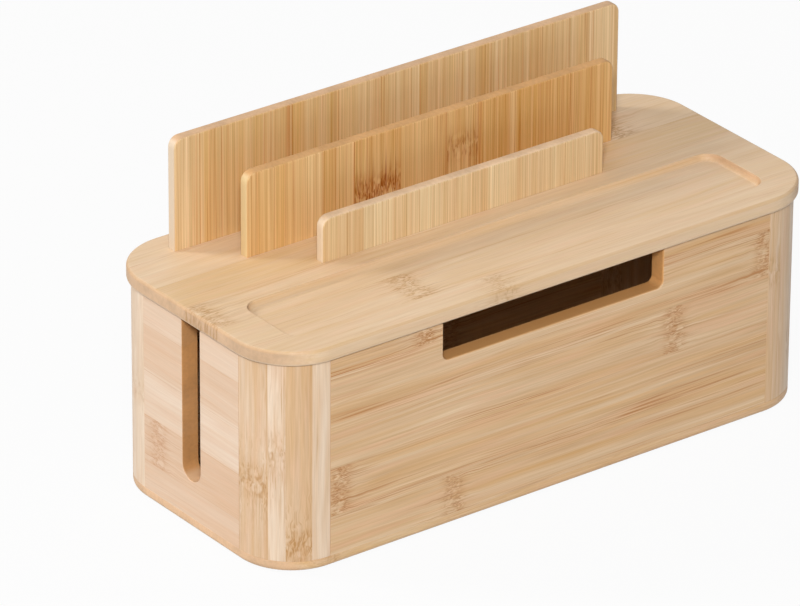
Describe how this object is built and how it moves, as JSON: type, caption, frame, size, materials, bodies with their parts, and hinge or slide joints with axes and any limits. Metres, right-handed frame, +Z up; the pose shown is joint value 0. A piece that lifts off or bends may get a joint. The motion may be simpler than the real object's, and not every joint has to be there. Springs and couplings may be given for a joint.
{
  "type": "cable management box",
  "caption": "Rounded bamboo box that hides a power strip, with a front cable notch, end slots, and a lift-off lid with a pen tray and device dividers.",
  "frame": {"origin": "centre of the box's footprint, on the desk that its pads stand on", "axes": "+X along the box towards its right end, +Y towards the back, +Z up; the cable notch faces -Y"},
  "size_m": [0.3, 0.13, 0.161],
  "materials": {
    "lid_bamboo": "satin lacquer",
    "divider_bamboo": "satin lacquer",
    "wall_bamboo": "satin lacquer",
    "post_bamboo": "satin lacquer",
    "base_bamboo": "satin lacquer",
    "block_bamboo": "sanded, bare",
    "pad_rubber": "matte"
  },
  "bodies": {
    "box": {"base_board": "base_bamboo", "front_panel": "wall_bamboo", "back_panel": "wall_bamboo", "left_end_panel": "wall_bamboo", "right_end_panel": "wall_bamboo", "corner_post_front_left": "post_bamboo", "corner_post_front_right": "post_bamboo", "corner_post_back_right": "post_bamboo", "corner_post_back_left": "post_bamboo", "foot_pad_front_left": "pad_rubber", "foot_pad_front_right": "pad_rubber", "foot_pad_back_right": "pad_rubber", "foot_pad_back_left": "pad_rubber"},
    "lid": {"lid_board": "lid_bamboo", "divider_back": "divider_bamboo", "divider_middle": "divider_bamboo", "divider_front": "divider_bamboo", "lid_block_front_left": "block_bamboo", "lid_block_front_right": "block_bamboo", "lid_block_back_right": "block_bamboo", "lid_block_back_left": "block_bamboo"}
  },
  "joints": [
    {"name": "lid_lift", "type": "slide", "parent": "box", "child": "lid", "axis": [0, 0, 1], "range_m": [0, 0.12]}
  ]
}
